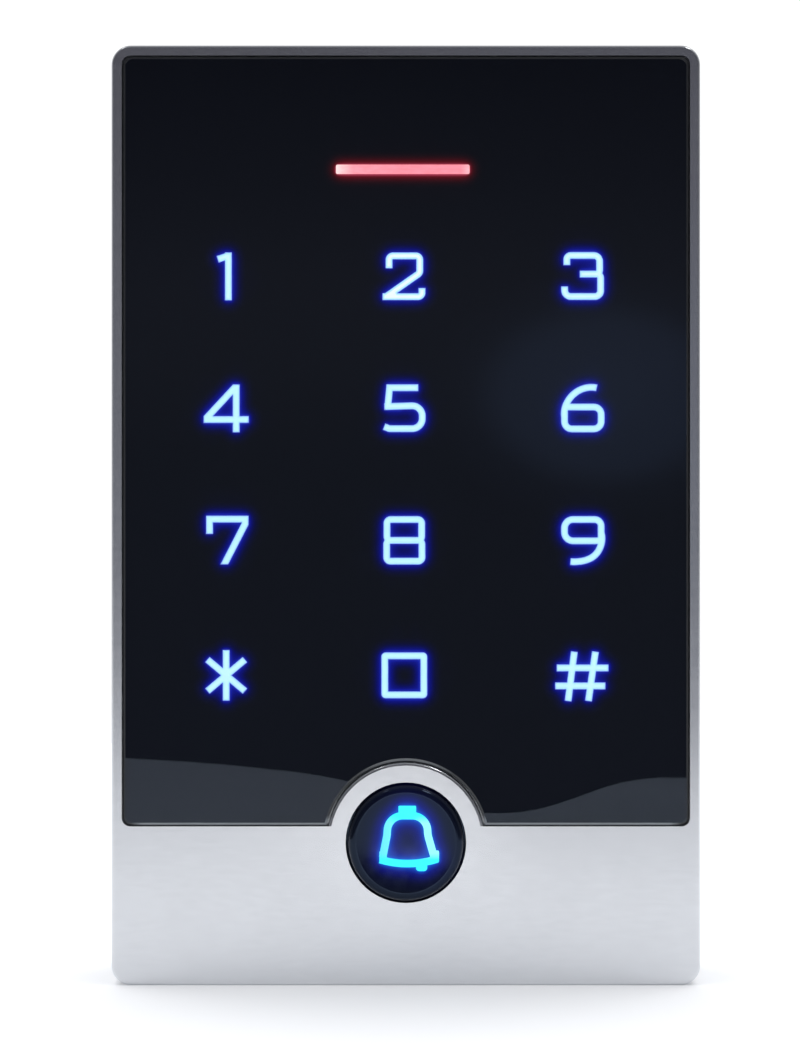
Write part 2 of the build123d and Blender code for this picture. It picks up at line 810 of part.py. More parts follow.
pieces = {
    "front_housing": front_housing(),
    "touch_glass": touch_glass(),
    "legend_film": legend_film(),
    "key_legends": key_legends(),
    "panel_tape": panel_tape(),
    "diffuser_sheet": diffuser_sheet(),
    "status_light_guide": status_light_guide(),
    "light_mask": light_mask(),
    "touch_springs": touch_springs(),
    "antenna_coil": antenna_coil(),
    "touch_board": touch_board(),
    "touch_board_screws": touch_board_screws(),
    "key_leds": key_leds(),
    "status_leds": status_leds(),
    "main_board": main_board(),
    "main_board_screws": main_board_screws(),
    "board_headers": board_headers(),
    "logic_chips": logic_chips(),
    "power_parts": power_parts(),
    "door_relay": door_relay(),
    "buzzer": buzzer(),
    "wire_header": wire_header(),
    "tamper_sensor": tamper_sensor(),
    "bell_switch_body": bell_switch_body(),
    "bell_switch_plunger": bell_switch_plunger(),
    "bell_leds": bell_leds(),
    "button_return_spring": button_return_spring(),
    "bell_button_cap": bell_button_cap(),
    "bell_light_core": bell_light_core(),
    "button_seal": button_seal(),
    "rear_cover": rear_cover(),
    "rear_gasket": rear_gasket(),
    "rear_cover_screws": rear_cover_screws(),
    "cable_grommet": cable_grommet(),
    "tamper_window": tamper_window(),
    "wall_bracket": wall_bracket(),
    "lock_screw": lock_screw(),
}

stand_up = Rot(90, 0, 0)
os.makedirs("parts", exist_ok=True)
for name, piece in pieces.items():
    export_step(stand_up * piece, f"parts/{name}.step")
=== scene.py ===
import math

import bmesh
import bpy
import numpy as np
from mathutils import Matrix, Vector
from mathutils.geometry import delaunay_2d_cdt

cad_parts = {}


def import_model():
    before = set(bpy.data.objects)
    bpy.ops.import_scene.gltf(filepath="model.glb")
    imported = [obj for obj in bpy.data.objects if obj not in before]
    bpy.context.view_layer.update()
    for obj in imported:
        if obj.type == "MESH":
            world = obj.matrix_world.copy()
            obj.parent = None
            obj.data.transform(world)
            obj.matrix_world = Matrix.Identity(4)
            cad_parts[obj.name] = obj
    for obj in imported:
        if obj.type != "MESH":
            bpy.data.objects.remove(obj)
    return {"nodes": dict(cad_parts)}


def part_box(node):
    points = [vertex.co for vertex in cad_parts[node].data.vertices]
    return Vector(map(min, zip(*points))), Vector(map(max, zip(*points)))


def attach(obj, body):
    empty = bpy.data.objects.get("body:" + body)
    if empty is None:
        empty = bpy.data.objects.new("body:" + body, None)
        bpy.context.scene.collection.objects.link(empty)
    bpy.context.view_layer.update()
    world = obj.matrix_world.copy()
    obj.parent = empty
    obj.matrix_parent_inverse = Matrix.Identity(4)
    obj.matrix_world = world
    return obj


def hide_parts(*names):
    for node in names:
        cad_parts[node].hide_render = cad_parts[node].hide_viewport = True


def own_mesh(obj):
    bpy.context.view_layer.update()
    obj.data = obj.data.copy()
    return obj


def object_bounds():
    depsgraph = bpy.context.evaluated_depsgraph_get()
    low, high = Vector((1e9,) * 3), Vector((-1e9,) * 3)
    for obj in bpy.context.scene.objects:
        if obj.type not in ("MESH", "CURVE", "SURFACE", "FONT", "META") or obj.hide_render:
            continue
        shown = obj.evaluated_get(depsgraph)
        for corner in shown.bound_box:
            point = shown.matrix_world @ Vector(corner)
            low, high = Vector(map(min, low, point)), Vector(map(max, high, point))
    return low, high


# A wall keypad reader: the CAD nodes keep their shapes and get their materials here. The glass, the print
# behind it, the lit legends, the button cap and its spring are rebuilt as finer meshes. The front looks
# along -Y. Lengths are in metres.
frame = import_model()
cad_low, cad_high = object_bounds()
nodes = frame["nodes"]

MM = 0.001

# Levels, as distances out from the wall.
GLASS_BACK = 19.95 * MM
GLASS_FRONT = 22.0 * MM
PRINT_BACK = 19.8 * MM
PRINT_FRONT = 19.98 * MM
LEGEND_FRONT = 20.0 * MM

# Glass outline.
GLASS_CORNER = 1.1 * MM
BAY_HEIGHT = -41.65 * MM
BAY_RADIUS = 10.27 * MM
EDGE_ROUND = 0.35 * MM

# Camera and the picture's frame at the front of the case.
FRONT = -22.0 * MM
CAMERA_DISTANCE = 0.42
FRAME_HEIGHT = 134.5 * MM
FRAME_CENTRE = (-0.75 * MM, -1.51 * MM)
FLOOR = cad_low.z
FLOOR_END = 0.45


# ---------------------------------------------------------------- materials

class Nodes:
    """A node tree, with helpers for the nodes that repeat."""

    def __init__(self, tree):
        self.tree = tree

    def add(self, kind, **values):
        node = self.tree.nodes.new(kind)
        for key, value in values.items():
            setattr(node, key, value)
        return node

    def join(self, output, target):
        self.tree.links.new(output, target)

    def feed(self, target, value):
        """Joins an output to the socket, or sets a plain value on it."""
        if isinstance(value, bpy.types.NodeSocket):
            self.join(value, target)
        else:
            target.default_value = value

    def parts(self, vector):
        """The X, Y and Z outputs of a vector."""
        node = self.add("ShaderNodeSeparateXYZ")
        self.join(vector, node.inputs["Vector"])
        return node.outputs

    def ramp(self, value, stops):
        node = self.add("ShaderNodeValToRGB")
        elements = node.color_ramp.elements
        while len(elements) < len(stops):
            elements.new(0.5)
        for element, (position, colour) in zip(elements, stops):
            element.position = position
            element.color = (*colour, 1.0)
        self.join(value, node.inputs["Fac"])
        return node.outputs["Color"]

    def span(self, value, low, high, start=0.3, end=0.7):
        """The value's run from start to end, mapped to low to high and held at both ends."""
        node = self.add("ShaderNodeMapRange")
        node.inputs["From Min"].default_value = start
        node.inputs["From Max"].default_value = end
        node.inputs["To Min"].default_value = low
        node.inputs["To Max"].default_value = high
        self.join(value, node.inputs["Value"])
        return node.outputs["Result"]

    def blend(self, first, second, share=1.0, kind="MIX"):
        """Two colours mixed, added or multiplied; share is how much of the second one counts."""
        node = self.add("ShaderNodeMix", data_type="RGBA", blend_type=kind)
        self.feed(node.inputs["Factor"], share)
        self.feed(node.inputs["A"], first)
        self.feed(node.inputs["B"], second)
        return node.outputs["Result"]


class Shader(Nodes):
    """A node material round one Principled shader."""

    def __init__(self, name):
        self.material = bpy.data.materials.new(name)
        self.material.use_nodes = True
        super().__init__(self.material.node_tree)
        self.main = self.tree.nodes["Principled BSDF"]
        self.place = self.add("ShaderNodeTexCoord").outputs["Object"]

    def put(self, **values):
        """Sets the main shader's sockets; underscores in a name stand for spaces."""
        for key, value in values.items():
            self.main.inputs[key.replace("_", " ")].default_value = value

    def noise(self, scale, stretch=(1, 1, 1), detail=3.0, roughness=0.5):
        """Noise in the object's own space, finer along the axes with a larger stretch."""
        mapping = self.add("ShaderNodeMapping")
        mapping.inputs["Scale"].default_value = stretch
        self.join(self.place, mapping.inputs["Vector"])
        texture = self.add("ShaderNodeTexNoise")
        texture.inputs["Scale"].default_value = scale
        texture.inputs["Detail"].default_value = detail
        texture.inputs["Roughness"].default_value = roughness
        self.join(mapping.outputs["Vector"], texture.inputs["Vector"])
        return texture.outputs["Fac"]

    def bump(self, height, distance, strength=1.0, after=None):
        node = self.add("ShaderNodeBump")
        node.inputs["Distance"].default_value = distance
        node.inputs["Strength"].default_value = strength
        self.join(height, node.inputs["Height"])
        if after is not None:
            self.join(after, node.inputs["Normal"])
        return node.outputs["Normal"]


def surface(name, dark, light, roughness, metallic=0.0, grain=900.0, stretch=(1, 1, 1), blotch=60.0,
            depth=0.01 * MM, **values):
    """A material whose colour and gloss drift, with fine grain in its bump."""
    shader = Shader(name)
    shader.put(Metallic=metallic, **values)
    patches = shader.noise(blotch, detail=4.0)
    grains = shader.noise(grain, stretch)
    shader.join(shader.ramp(patches, [(0.3, dark), (0.7, light)]), shader.main.inputs["Base Color"])
    shader.join(shader.span(grains, *roughness), shader.main.inputs["Roughness"])
    shader.join(shader.bump(grains, depth), shader.main.inputs["Normal"])
    return shader.material


def satin_zinc():
    """Plated die-casting: fine satin lines across, with slight cloudiness and pits."""
    shader = Shader("satin_zinc_plate")
    shader.put(Metallic=1.0)
    clouds = shader.noise(60.0, detail=5.0, roughness=0.6)
    lines = shader.noise(420.0, (1.0, 4.0, 4.0), detail=4.0)
    pits = shader.noise(5200.0, detail=2.0)
    tint = shader.ramp(clouds, [(0.3, (0.675, 0.690, 0.715)), (0.7, (0.705, 0.720, 0.745))])
    shader.join(tint, shader.main.inputs["Base Color"])
    shader.join(shader.span(lines, 0.205, 0.235), shader.main.inputs["Roughness"])
    fine = shader.bump(pits, 0.004 * MM, 0.2)
    shader.join(shader.bump(lines, 0.002 * MM, 0.06, fine), shader.main.inputs["Normal"])
    return shader.material


def clear_glass():
    """Tempered glass with faint wiping marks in its gloss."""
    shader = Shader("tempered_pane")
    shader.put(Base_Color=(1.0, 1.0, 1.0, 1.0), Transmission_Weight=1.0, IOR=1.5,
               Specular_Tint=(0.66, 0.77, 0.96, 1.0))
    marks = shader.noise(35.0, (1.0, 1.0, 0.4), detail=5.0)
    shader.join(shader.span(marks, 0.0, 0.03), shader.main.inputs["Roughness"])
    return shader.material


BASE_DRIFT = 1.3
GLOSS_DRIFT = 0.08


def lit_print(name, base, layers, roughness=0.35, gloss=0.5, tint=(1.0, 1.0, 1.0)):
    """Dark gloss with light on it: each layer is an attribute and the colours for its amounts of light."""
    shader = Shader(name)
    shader.put(Emission_Strength=1.0, Specular_IOR_Level=gloss, Specular_Tint=(*tint, 1.0))
    grains = shader.noise(700.0, detail=3.0)
    shader.join(shader.ramp(grains, [(0.3, base), (0.7, tuple(BASE_DRIFT * x for x in base))]),
                shader.main.inputs["Base Color"])
    shader.join(shader.span(grains, roughness, roughness + GLOSS_DRIFT), shader.main.inputs["Roughness"])
    glow = None
    for attribute, colours in layers:
        amount = shader.add("ShaderNodeAttribute", attribute_name=attribute).outputs["Fac"]
        layer = shader.ramp(amount, colours)
        glow = layer if glow is None else shader.blend(glow, layer, kind="ADD")
    shader.join(glow, shader.main.inputs["Emission Color"])
    return shader.material


def circuit_board():
    """Green solder mask over woven glass, with lighter traces showing through."""
    shader = Shader("solder_mask")
    weave = shader.add("ShaderNodeTexBrick")
    for key, value in (
        ("Scale", 1500.0), ("Mortar Size", 0.03), ("Brick Width", 0.5), ("Row Height", 0.5),
        ("Color1", (0.010, 0.085, 0.045, 1)), ("Color2", (0.014, 0.105, 0.055, 1)),
        ("Mortar", (0.020, 0.150, 0.080, 1)),
    ):
        weave.inputs[key].default_value = value
    turn = shader.add("ShaderNodeMapping")
    turn.inputs["Rotation"].default_value = (math.pi / 2, 0, 0)
    shader.join(shader.place, turn.inputs["Vector"])
    shader.join(turn.outputs["Vector"], weave.inputs["Vector"])
    traces = shader.noise(260.0, detail=1.0)
    shade = shader.ramp(traces, [(0.47, (0.6, 0.6, 0.6)), (0.53, (1.0, 1.0, 1.0))])
    colour = shader.blend(weave.outputs["Color"], shade, 0.6, "MULTIPLY")
    shader.join(colour, shader.main.inputs["Base Color"])
    shader.join(shader.span(traces, 0.25, 0.4), shader.main.inputs["Roughness"])
    shader.join(shader.bump(weave.outputs["Fac"], 0.01 * MM, 0.4), shader.main.inputs["Normal"])
    return shader.material


def use(material, *names):
    """Gives CAD nodes their material."""
    for name in names:
        mesh = nodes[name].data
        mesh.materials.clear()
        mesh.materials.append(material)


black_moulding = surface("black_moulding", (0.018, 0.018, 0.02), (0.030, 0.030, 0.032), (0.45, 0.6),
                         grain=1600.0, depth=0.02 * MM)
steel_screw = surface("plated_screw", (0.52, 0.52, 0.50), (0.68, 0.68, 0.66), (0.25, 0.4), 1.0, grain=2500.0)
cream_moulding = surface("cream_moulding", (0.70, 0.66, 0.54), (0.80, 0.77, 0.66), (0.35, 0.5))
led_body = surface("lamp_body", (0.72, 0.72, 0.66), (0.85, 0.85, 0.80), (0.3, 0.45))
soft_silicone = surface("soft_silicone", (0.055, 0.055, 0.06), (0.085, 0.085, 0.09), (0.5, 0.65),
                        grain=1200.0)
tape_foam = surface("foam_tape_face", (0.02, 0.02, 0.02), (0.04, 0.04, 0.04), (0.8, 0.95), grain=3000.0,
                    depth=0.04 * MM)
milky_film = surface("milky_film", (0.78, 0.80, 0.82), (0.86, 0.88, 0.90), (0.45, 0.55))
spring_wire = surface("spring_wire", (0.45, 0.44, 0.42), (0.62, 0.61, 0.58), (0.2, 0.35), 1.0, grain=3000.0)
copper_winding = surface("copper_winding", (0.55, 0.24, 0.11), (0.74, 0.38, 0.20), (0.25, 0.4), 1.0,
                         grain=900.0, stretch=(1, 9, 1), depth=0.05 * MM)
chip_resin = surface("chip_resin_face", (0.018, 0.018, 0.02), (0.032, 0.032, 0.034), (0.5, 0.65),
                     grain=2200.0)
drawn_can = surface("drawn_can", (0.50, 0.50, 0.52), (0.66, 0.66, 0.68), (0.22, 0.36), 1.0, grain=1500.0)
relay_shell = surface("relay_shell", (0.022, 0.06, 0.17), (0.034, 0.085, 0.22), (0.25, 0.35))
sensor_window = surface("sensor_window", (0.42, 0.25, 0.14), (0.58, 0.36, 0.20), (0.35, 0.5))
rear_moulding = surface("rear_moulding", (0.016, 0.016, 0.018), (0.028, 0.028, 0.030), (0.42, 0.58),
                        grain=1400.0, depth=0.03 * MM)
grommet_skin = surface("grommet_skin", (0.012, 0.012, 0.012), (0.024, 0.024, 0.024), (0.55, 0.7),
                       grain=1100.0)
sensor_plug = surface("sensor_plug", (0.30, 0.32, 0.35), (0.42, 0.44, 0.47), (0.08, 0.16),
                      Transmission_Weight=0.5)

use(satin_zinc(), "front_housing")
use(tape_foam, "panel_tape")
use(milky_film, "diffuser_sheet")
use(black_moulding, "light_mask", "board_headers", "buzzer", "bell_switch_body")
use(spring_wire, "touch_springs")
use(copper_winding, "antenna_coil")
use(circuit_board(), "touch_board", "main_board")
use(steel_screw, "touch_board_screws", "main_board_screws", "rear_cover_screws", "lock_screw")
use(led_body, "key_leds", "status_leds", "bell_leds")
use(chip_resin, "logic_chips")
use(drawn_can, "power_parts")
use(relay_shell, "door_relay")
use(cream_moulding, "wire_header", "bell_switch_plunger")
use(sensor_window, "tamper_sensor")
use(soft_silicone, "button_seal", "rear_gasket")
use(rear_moulding, "rear_cover")
use(grommet_skin, "cable_grommet")
use(sensor_plug, "tamper_window")


def bracket_steel():
    """Zinc-plated sheet: spangled tint, rolling lines and a few dull patches."""
    shader = Shader("plated_sheet")
    shader.put(Metallic=1.0)
    cells = shader.add("ShaderNodeTexVoronoi")
    cells.inputs["Scale"].default_value = 380.0
    shader.join(shader.place, cells.inputs["Vector"])
    grey = shader.add("ShaderNodeRGBToBW")
    shader.join(cells.outputs["Color"], grey.inputs["Color"])
    patches = shader.noise(30.0, detail=5.0)
    lines = shader.noise(500.0, (1.0, 1.0, 0.05), detail=3.0)
    tint = shader.ramp(grey.outputs["Val"], [(0.1, (0.54, 0.55, 0.57)), (0.9, (0.61, 0.62, 0.64))])
    dull = shader.ramp(patches, [(0.35, (0.85, 0.85, 0.84)), (0.65, (1.0, 1.0, 1.0))])
    shader.join(shader.blend(tint, dull, kind="MULTIPLY"), shader.main.inputs["Base Color"])
    shader.join(shader.span(patches, 0.28, 0.42), shader.main.inputs["Roughness"])
    shader.join(shader.bump(lines, 0.008 * MM, 0.4), shader.main.inputs["Normal"])
    return shader.material


use(bracket_steel(), "wall_bracket")


# ---------------------------------------------------------------- mesh helpers

# Points that round to the same step are one point: steps per metre for corners and for ends of segments.
CORNER_STEPS = 1e7
END_STEPS = 1e8
# A face that lies this close to the front of its node is part of the front.
SAME_LEVEL = 1e-6
# How many points reach() measures at once.
BATCH = 2000


def key_of(point, steps):
    """The point in whole steps, to find it again."""
    return tuple(np.round(np.array(point) * steps).astype(int))


def front_outline(node, depth=SAME_LEVEL, facing=0.0):
    """Line segments, as (x, z) pairs, round a CAD node's faces that lie within depth of its front.

    Faces whose normal has a smaller share along Y than facing are left out.
    """
    mesh = nodes[node].data
    points = np.array([v.co for v in mesh.vertices], float)
    front = points[:, 1].min()
    first = {}
    same = [first.setdefault(key_of(point, CORNER_STEPS), index) for index, point in enumerate(points)]
    sides = {}
    for polygon in mesh.polygons:
        corners = [same[v] for v in polygon.vertices]
        level = all(points[c][1] - front < depth for c in corners)
        if level and abs(polygon.normal.y) >= facing:
            sides.update(dict.fromkeys(zip(corners, corners[1:] + corners[:1])))
    edges = [(a, b) for a, b in sides if (b, a) not in sides]
    return [((points[a][0], points[a][2]), (points[b][0], points[b][2])) for a, b in edges]


def loops_of(segments):
    """Closed loops of points, in order, from loose segments."""
    following = {key_of(a, END_STEPS): (a, b) for a, b in segments}
    loops = []
    while following:
        key, (a, b) = next(iter(following.items()))
        loop = []
        while key in following:
            a, b = following.pop(key)
            loop.append(a)
            key = key_of(b, END_STEPS)
        loops.append(loop)
    return loops


def reach(points, segments):
    """Distance from each point to the nearest segment, in the plane."""
    points = np.asarray(points, float)
    starts = np.array([a for a, b in segments], float)
    ends = np.array([b for a, b in segments], float)
    along = ends - starts
    length = np.maximum((along ** 2).sum(1), 1e-18)
    best = np.full(len(points), np.inf)
    for begin in range(0, len(points), BATCH):
        part = points[begin:begin + BATCH, None, :]
        share = np.clip(((part - starts) * along).sum(2) / length, 0, 1)
        gap = part - (starts + share[..., None] * along)
        best[begin:begin + BATCH] = np.sqrt((gap ** 2).sum(2)).min(1)
    return best


def inside(points, loops):
    """True for the points that an odd number of loops holds."""
    points = np.asarray(points, float)
    x, z = points[:, 0], points[:, 1]
    odd = np.zeros(len(points), bool)
    for loop in loops:
        ring = np.array(loop)
        for (x0, z0), (x1, z1) in zip(ring, np.roll(ring, -1, axis=0)):
            crosses = (z0 > z) != (z1 > z)
            if z1 != z0:
                odd ^= crosses & (x < (x1 - x0) * (z - z0) / (z1 - z0) + x0)
    return odd


def shorten(loop, longest):
    """The loop with its long sides divided."""
    result = []
    for a, b in zip(loop, loop[1:] + loop[:1]):
        steps = max(1, math.ceil(math.dist(a, b) / longest))
        for step in range(steps):
            share = step / steps
            result.append((a[0] + (b[0] - a[0]) * share, a[1] + (b[1] - a[1]) * share))
    return result


def filled(loops, extra=(), tolerance=1e-8):
    """Triangles that fill the loops, through the extra points: (points, triangles)."""
    points, edges = [], []
    for loop in loops:
        start = len(points)
        points += loop
        count = len(loop)
        edges += [(start + i, start + (i + 1) % count) for i in range(count)]
    points += list(extra)
    found = delaunay_2d_cdt([Vector(p) for p in points], edges, [], 0, tolerance)
    places = np.array([(p.x, p.y) for p in found[0]])
    triangles = np.array([tuple(f) for f in found[2]])
    middles = places[triangles].mean(1)
    return places, triangles[inside(middles, loops)]


def plate(name, places, triangles, front, back):
    """A closed plate from a filled outline: its front and back faces and the walls between them."""
    used = sorted(set(triangles.ravel()))
    number = {old: new for new, old in enumerate(used)}
    places = places[used]
    triangles = [[number[v] for v in t] for t in triangles]
    count = len(places)
    vertices = [(x, -front, z) for x, z in places] + [(x, -back, z) for x, z in places]
    faces = [tuple(t) for t in triangles] + [tuple(v + count for v in reversed(t)) for t in triangles]
    sides = dict.fromkeys(pair for a, b, c in triangles for pair in ((a, b), (b, c), (c, a)))
    faces += [(b, a, a + count, b + count) for a, b in sides if (b, a) not in sides]
    return piece(name, vertices, faces)


def piece(name, vertices, faces, smooth=False):
    """A new object from its vertices and faces, with the faces turned outwards."""
    mesh = bpy.data.meshes.new(name)
    mesh.from_pydata([tuple(v) for v in vertices], [], faces)
    tidy = bmesh.new()
    tidy.from_mesh(mesh)
    bmesh.ops.recalc_face_normals(tidy, faces=tidy.faces)
    tidy.to_mesh(mesh)
    tidy.free()
    mesh.polygons.foreach_set("use_smooth", [smooth] * len(mesh.polygons))
    made = bpy.data.objects.new(name, mesh)
    bpy.context.scene.collection.objects.link(made)
    return made


def in_plane(made):
    """The piece's vertices as (x, z) pairs."""
    return np.array([(v.co.x, v.co.z) for v in made.data.vertices])


def store(made, key, values):
    """Keeps one number for each vertex, for the material to read."""
    attribute = made.data.attributes.new(key, "FLOAT", "POINT")
    attribute.data.foreach_set("value", np.asarray(values, np.float32))


def grid(low, high, pitch):
    """Points in rows, every second row half a step across."""
    xs = np.arange(low[0], high[0], pitch)
    zs = np.arange(low[1], high[1], pitch)
    return [(x + (0.5 * pitch if j % 2 else 0.0), z) for j, z in enumerate(zs) for x in xs]


def finish_piece(made, body, slot, material, *replaced):
    """Gives the piece its material and body, and hides the CAD nodes that it replaces; the slot is not used.
    """
    made.data.materials.append(material)
    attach(made, body)
    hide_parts(*replaced)


# ---------------------------------------------------------------- lit legends and the print round them

legend_edges = front_outline("key_legends")
legend_loops = loops_of(legend_edges)
status_edges = front_outline("status_light_guide")
status_loops = loops_of(status_edges)

# Points inside the strokes: their pitch, and the share of it that they keep away from the outline.
CORE_PITCH = 0.14 * MM
CORE_GAP = 0.45
STROKE_PITCH = 0.25 * MM
# Points in the print: close together within reach of a lit area, far apart elsewhere, off the outer edge.
HALO_PITCH = 0.17 * MM
HALO_REACH = 1.9 * MM
OPEN_PITCH = 2.4 * MM
EDGE_GAP = 0.1 * MM
# Samples of a lit area, and the square tiles in which they are summed.
SAMPLE_PITCH = 0.14 * MM
TILE = 2.5 * MM
# How many widths away a bell-shaped spread of light still counts.
SPREAD_END = 3.5


def bounds_of(points):
    """The lowest and highest coordinates of the points."""
    array = np.array(points, float)
    return array.min(0), array.max(0)


def gathered(points, loops, pitch, widths):
    """The light at each point from the areas in the loops, by bell-shaped spreads of (width, share)."""
    points = np.asarray(points, float)
    total = np.zeros(len(points))
    margin = SPREAD_END * max(width for width, share in widths)
    low, high = bounds_of([p for loop in loops for p in loop])
    spread = np.array(grid(low, high, pitch))
    spread = spread[inside(spread, loops)]
    for column in np.arange(low[0], high[0], TILE):
        for row in np.arange(low[1], high[1], TILE):
            corner = np.array([column, row])
            samples = spread[((spread >= corner) & (spread < corner + TILE)).all(1)]
            near = ((points > corner - margin) & (points < corner + TILE + margin)).all(1)
            if not len(samples) or not near.any():
                continue
            square = ((points[near][:, None, :] - samples) ** 2).sum(2)
            for width, share in widths:
                weight = share * pitch * pitch / (2 * math.pi * width * width)
                total[near] += weight * np.exp(-square / (2 * width * width)).sum(1)
    return total


def legend_lights():
    """The lit legends, with points inside their strokes so that the light can fall off towards the edges."""
    loops = [shorten(loop, STROKE_PITCH) for loop in legend_loops]
    low, high = bounds_of([p for loop in loops for p in loop])
    segments = [pair for loop in loops for pair in zip(loop, loop[1:] + loop[:1])]
    candidates = np.array(grid(low, high, CORE_PITCH))
    candidates = candidates[inside(candidates, loops)]
    candidates = candidates[reach(candidates, segments) > CORE_GAP * CORE_PITCH]
    places, triangles = filled(loops, [tuple(p) for p in candidates])
    made = plate("legend_lights", places, triangles, LEGEND_FRONT, PRINT_BACK)
    flat = in_plane(made)
    store(made, "depth", np.minimum(reach(flat, segments) / CORE_DEPTH, 1.0) * key_strength(flat))
    return made


def key_strength(points):
    """How strongly the lamp behind each key shines, for points in the plane."""
    strength = np.full(len(points), USUAL_LAMP)
    for centre, value in KEY_LAMPS:
        strength[(abs(points - np.array(centre) * MM) < KEY_CELL).all(1)] = value
    return strength


def print_layer():
    """The black print behind the glass, with points close together where light spreads over it."""
    outer = max(loops_of(front_outline("legend_film")), key=lambda loop: np.ptp(np.array(loop)[:, 0]))
    outer = shorten(outer, OPEN_PITCH)
    low, high = bounds_of(outer)
    lit = legend_edges + status_edges
    fine = []
    for loop in legend_loops + status_loops:
        near_low, near_high = bounds_of(loop)
        fine += grid(near_low - HALO_REACH, near_high + HALO_REACH, HALO_PITCH)
    fine = np.unique(np.round(np.array(fine) / (0.5 * HALO_PITCH)), axis=0) * 0.5 * HALO_PITCH
    fine = fine[reach(fine, lit) < HALO_REACH]
    coarse = np.array(grid(low, high, OPEN_PITCH))
    coarse = coarse[reach(coarse, lit) > HALO_REACH]
    extra = np.concatenate([fine, coarse])
    extra = extra[inside(extra, [outer])]
    extra = extra[reach(extra, list(zip(outer, outer[1:] + outer[:1]))) > EDGE_GAP]
    places, triangles = filled([outer], [tuple(p) for p in extra])
    made = plate("print_layer", places, triangles, PRINT_FRONT, PRINT_BACK)
    flat = in_plane(made)
    for key, loops in (("blue_light", legend_loops), ("red_light", status_loops)):
        store(made, key, gathered(flat, loops, SAMPLE_PITCH, PRINT_SPREAD))
    return made


# Light in the print: (width, share) of each bell-shaped spread.
PRINT_SPREAD = [(0.16 * MM, 0.55), (0.65 * MM, 0.45)]
# A stroke is fully lit this far in from its edge.
CORE_DEPTH = 0.28 * MM
# How strongly the lamps shine: usually, and behind each key, whose middle is in mm. A key's value holds for
# the points that are nearer to its middle than KEY_CELL.
USUAL_LAMP = 0.80
KEY_CELL = (8 * MM, 6 * MM)
KEY_LAMPS = [
    ((-23.0, 30.6), 0.86), ((-0.2, 30.6), 1.0), ((22.6, 30.6), 0.88),
    ((-23.0, 13.7), 0.80), ((-0.2, 13.7), 0.84), ((22.6, 13.7), 0.80),
    ((-23.0, -3.2), 0.78), ((-0.2, -3.2), 0.80), ((22.6, -3.2), 0.78),
    ((-23.0, -20.5), 0.82), ((-0.2, -20.5), 0.80), ((22.6, -20.5), 0.82),
]

LEGEND_STOPS = [
    (0.0, (0.07, 0.12, 0.55)),
    (0.2, (0.26, 0.44, 0.90)),
    (0.5, (0.42, 0.80, 1.0)),
    (0.80, (0.48, 0.88, 1.0)),
    (1.0, (0.82, 0.90, 1.0)),
]
BLUE_STOPS = [
    (0.0, (0.0022, 0.0027, 0.0046)),
    (0.005, (0.0022, 0.0027, 0.013)),
    (0.027, (0.0014, 0.0018, 0.034)),
    (0.053, (0.0010, 0.0018, 0.070)),
    (0.091, (0.0010, 0.0020, 0.140)),
    (0.165, (0.0025, 0.0045, 0.230)),
    (0.35, (0.008, 0.016, 0.40)),
    (1.0, (0.02, 0.06, 0.7)),
]
RED_STOPS = [
    (0.0, (0.0, 0.0, 0.0)),
    (0.028, (0.013, 0.0, 0.0)),
    (0.045, (0.022, 0.0, 0.0)),
    (0.09, (0.053, 0.0, 0.001)),
    (0.16, (0.10, 0.001, 0.004)),
    (0.45, (0.40, 0.04, 0.08)),
]

lights = legend_lights()
finish_piece(lights, "reader", "clear_ink",
             lit_print("lit_ink", (0.2, 0.3, 0.4), [("depth", LEGEND_STOPS)]), "key_legends")
film = print_layer()
finish_piece(film, "reader", "black_print",
             lit_print("black_print_lit", (0.0012, 0.0015, 0.0024),
                       [("blue_light", BLUE_STOPS), ("red_light", RED_STOPS)], gloss=0.0), "legend_film")


def status_material():
    """The status bar: pink-red light, paler towards its ends."""
    shader = Shader("status_lit")
    shader.put(Base_Color=(0.5, 0.1, 0.12, 1.0), Roughness=0.3, Emission_Strength=1.0)
    low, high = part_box("status_light_guide")
    flow = shader.noise(900.0, (1, 1, 3), detail=2.0)
    along = shader.span(shader.parts(shader.place)["X"], 0.0, 1.0, low.x, high.x)
    colours = shader.ramp(along, [
        (0.02, (1.0, 0.92, 0.92)),
        (0.07, (1.0, 0.72, 0.74)),
        (0.16, (1.0, 0.38, 0.46)),
        (0.5, (1.0, 0.32, 0.41)),
        (0.90, (1.0, 0.32, 0.41)),
        (0.97, (1.0, 0.60, 0.66)),
    ])
    streaks = shader.ramp(flow, [(0.35, (0.75, 0.55, 0.55)), (0.65, (1.0, 1.0, 1.0))])
    shader.join(shader.blend(colours, streaks, 0.35, "MULTIPLY"), shader.main.inputs["Emission Color"])
    return shader.material


use(status_material(), "status_light_guide")


# ---------------------------------------------------------------- glass

# Steps in a corner's arc, in the arc of the bay and across the rounded edge.
ARC_PARTS = 10
BAY_PARTS = 160
ROUND_PARTS = 6
# A face whose normal has at least this share along Y is part of the flat front or back.
FLAT = 0.999


def glass_ring(inset):
    """Points round the glass, drawn in by inset, in the same number for every inset."""
    low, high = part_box("touch_glass")
    left, right = low.x + inset, high.x - inset
    bottom, top = low.z + inset, high.z - inset
    radius = GLASS_CORNER - inset
    bay = BAY_RADIUS + inset
    ring = []
    for centre_x, centre_z, start in (
        (right - radius, bottom + radius, -90), (right - radius, top - radius, 0),
        (left + radius, top - radius, 90), (left + radius, bottom + radius, 180),
    ):
        for step in range(ARC_PARTS + 1):
            angle = math.radians(start + 90 * step / ARC_PARTS)
            ring.append((centre_x + radius * math.cos(angle), centre_z + radius * math.sin(angle)))
    lift = math.asin((bottom - BAY_HEIGHT) / bay)
    for step in range(BAY_PARTS + 1):
        angle = math.pi - lift - (math.pi - 2 * lift) * step / BAY_PARTS
        ring.append((bay * math.cos(angle), BAY_HEIGHT + bay * math.sin(angle)))
    return ring


